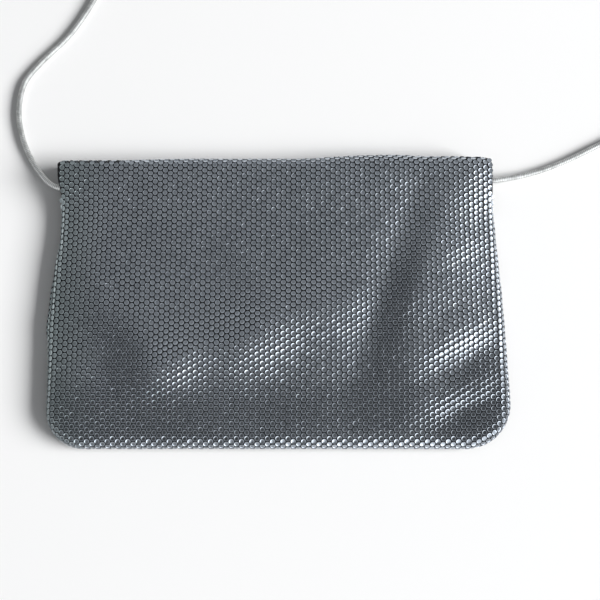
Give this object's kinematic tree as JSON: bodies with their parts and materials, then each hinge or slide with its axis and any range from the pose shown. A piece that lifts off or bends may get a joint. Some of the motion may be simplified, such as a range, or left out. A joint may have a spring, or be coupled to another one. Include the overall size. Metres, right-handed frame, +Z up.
{
  "type": "metal mesh flap purse with a chain strap",
  "caption": "Flat evening purse of metal ring mesh with a full length flap folded over its front and a snake chain strap, lying closed on its back.",
  "frame": {"origin": "middle of the back panel's flat underside, where the purse rests on its back", "axes": "+X to the purse's right as the flap is looked at, +Y from the flap's lower edge to the top fold, +Z up out of the flap"},
  "size_m": [0.3741, 0.453, 0.015],
  "materials": {
    "mesh": "tarnished round plates on a ring net, satin",
    "chain": "polished snake chain with dark joints",
    "fitting": "polished"
  },
  "bodies": {
    "root": {"back_panel": "mesh", "front_panel": "mesh", "flap": "mesh", "snap": "fitting", "strap_chain": "chain", "strap_cap_left": "fitting", "strap_ring_left": "fitting", "strap_tab_left": "fitting", "strap_cap_right": "fitting", "strap_ring_right": "fitting", "strap_tab_right": "fitting"}
  },
  "joints": []
}
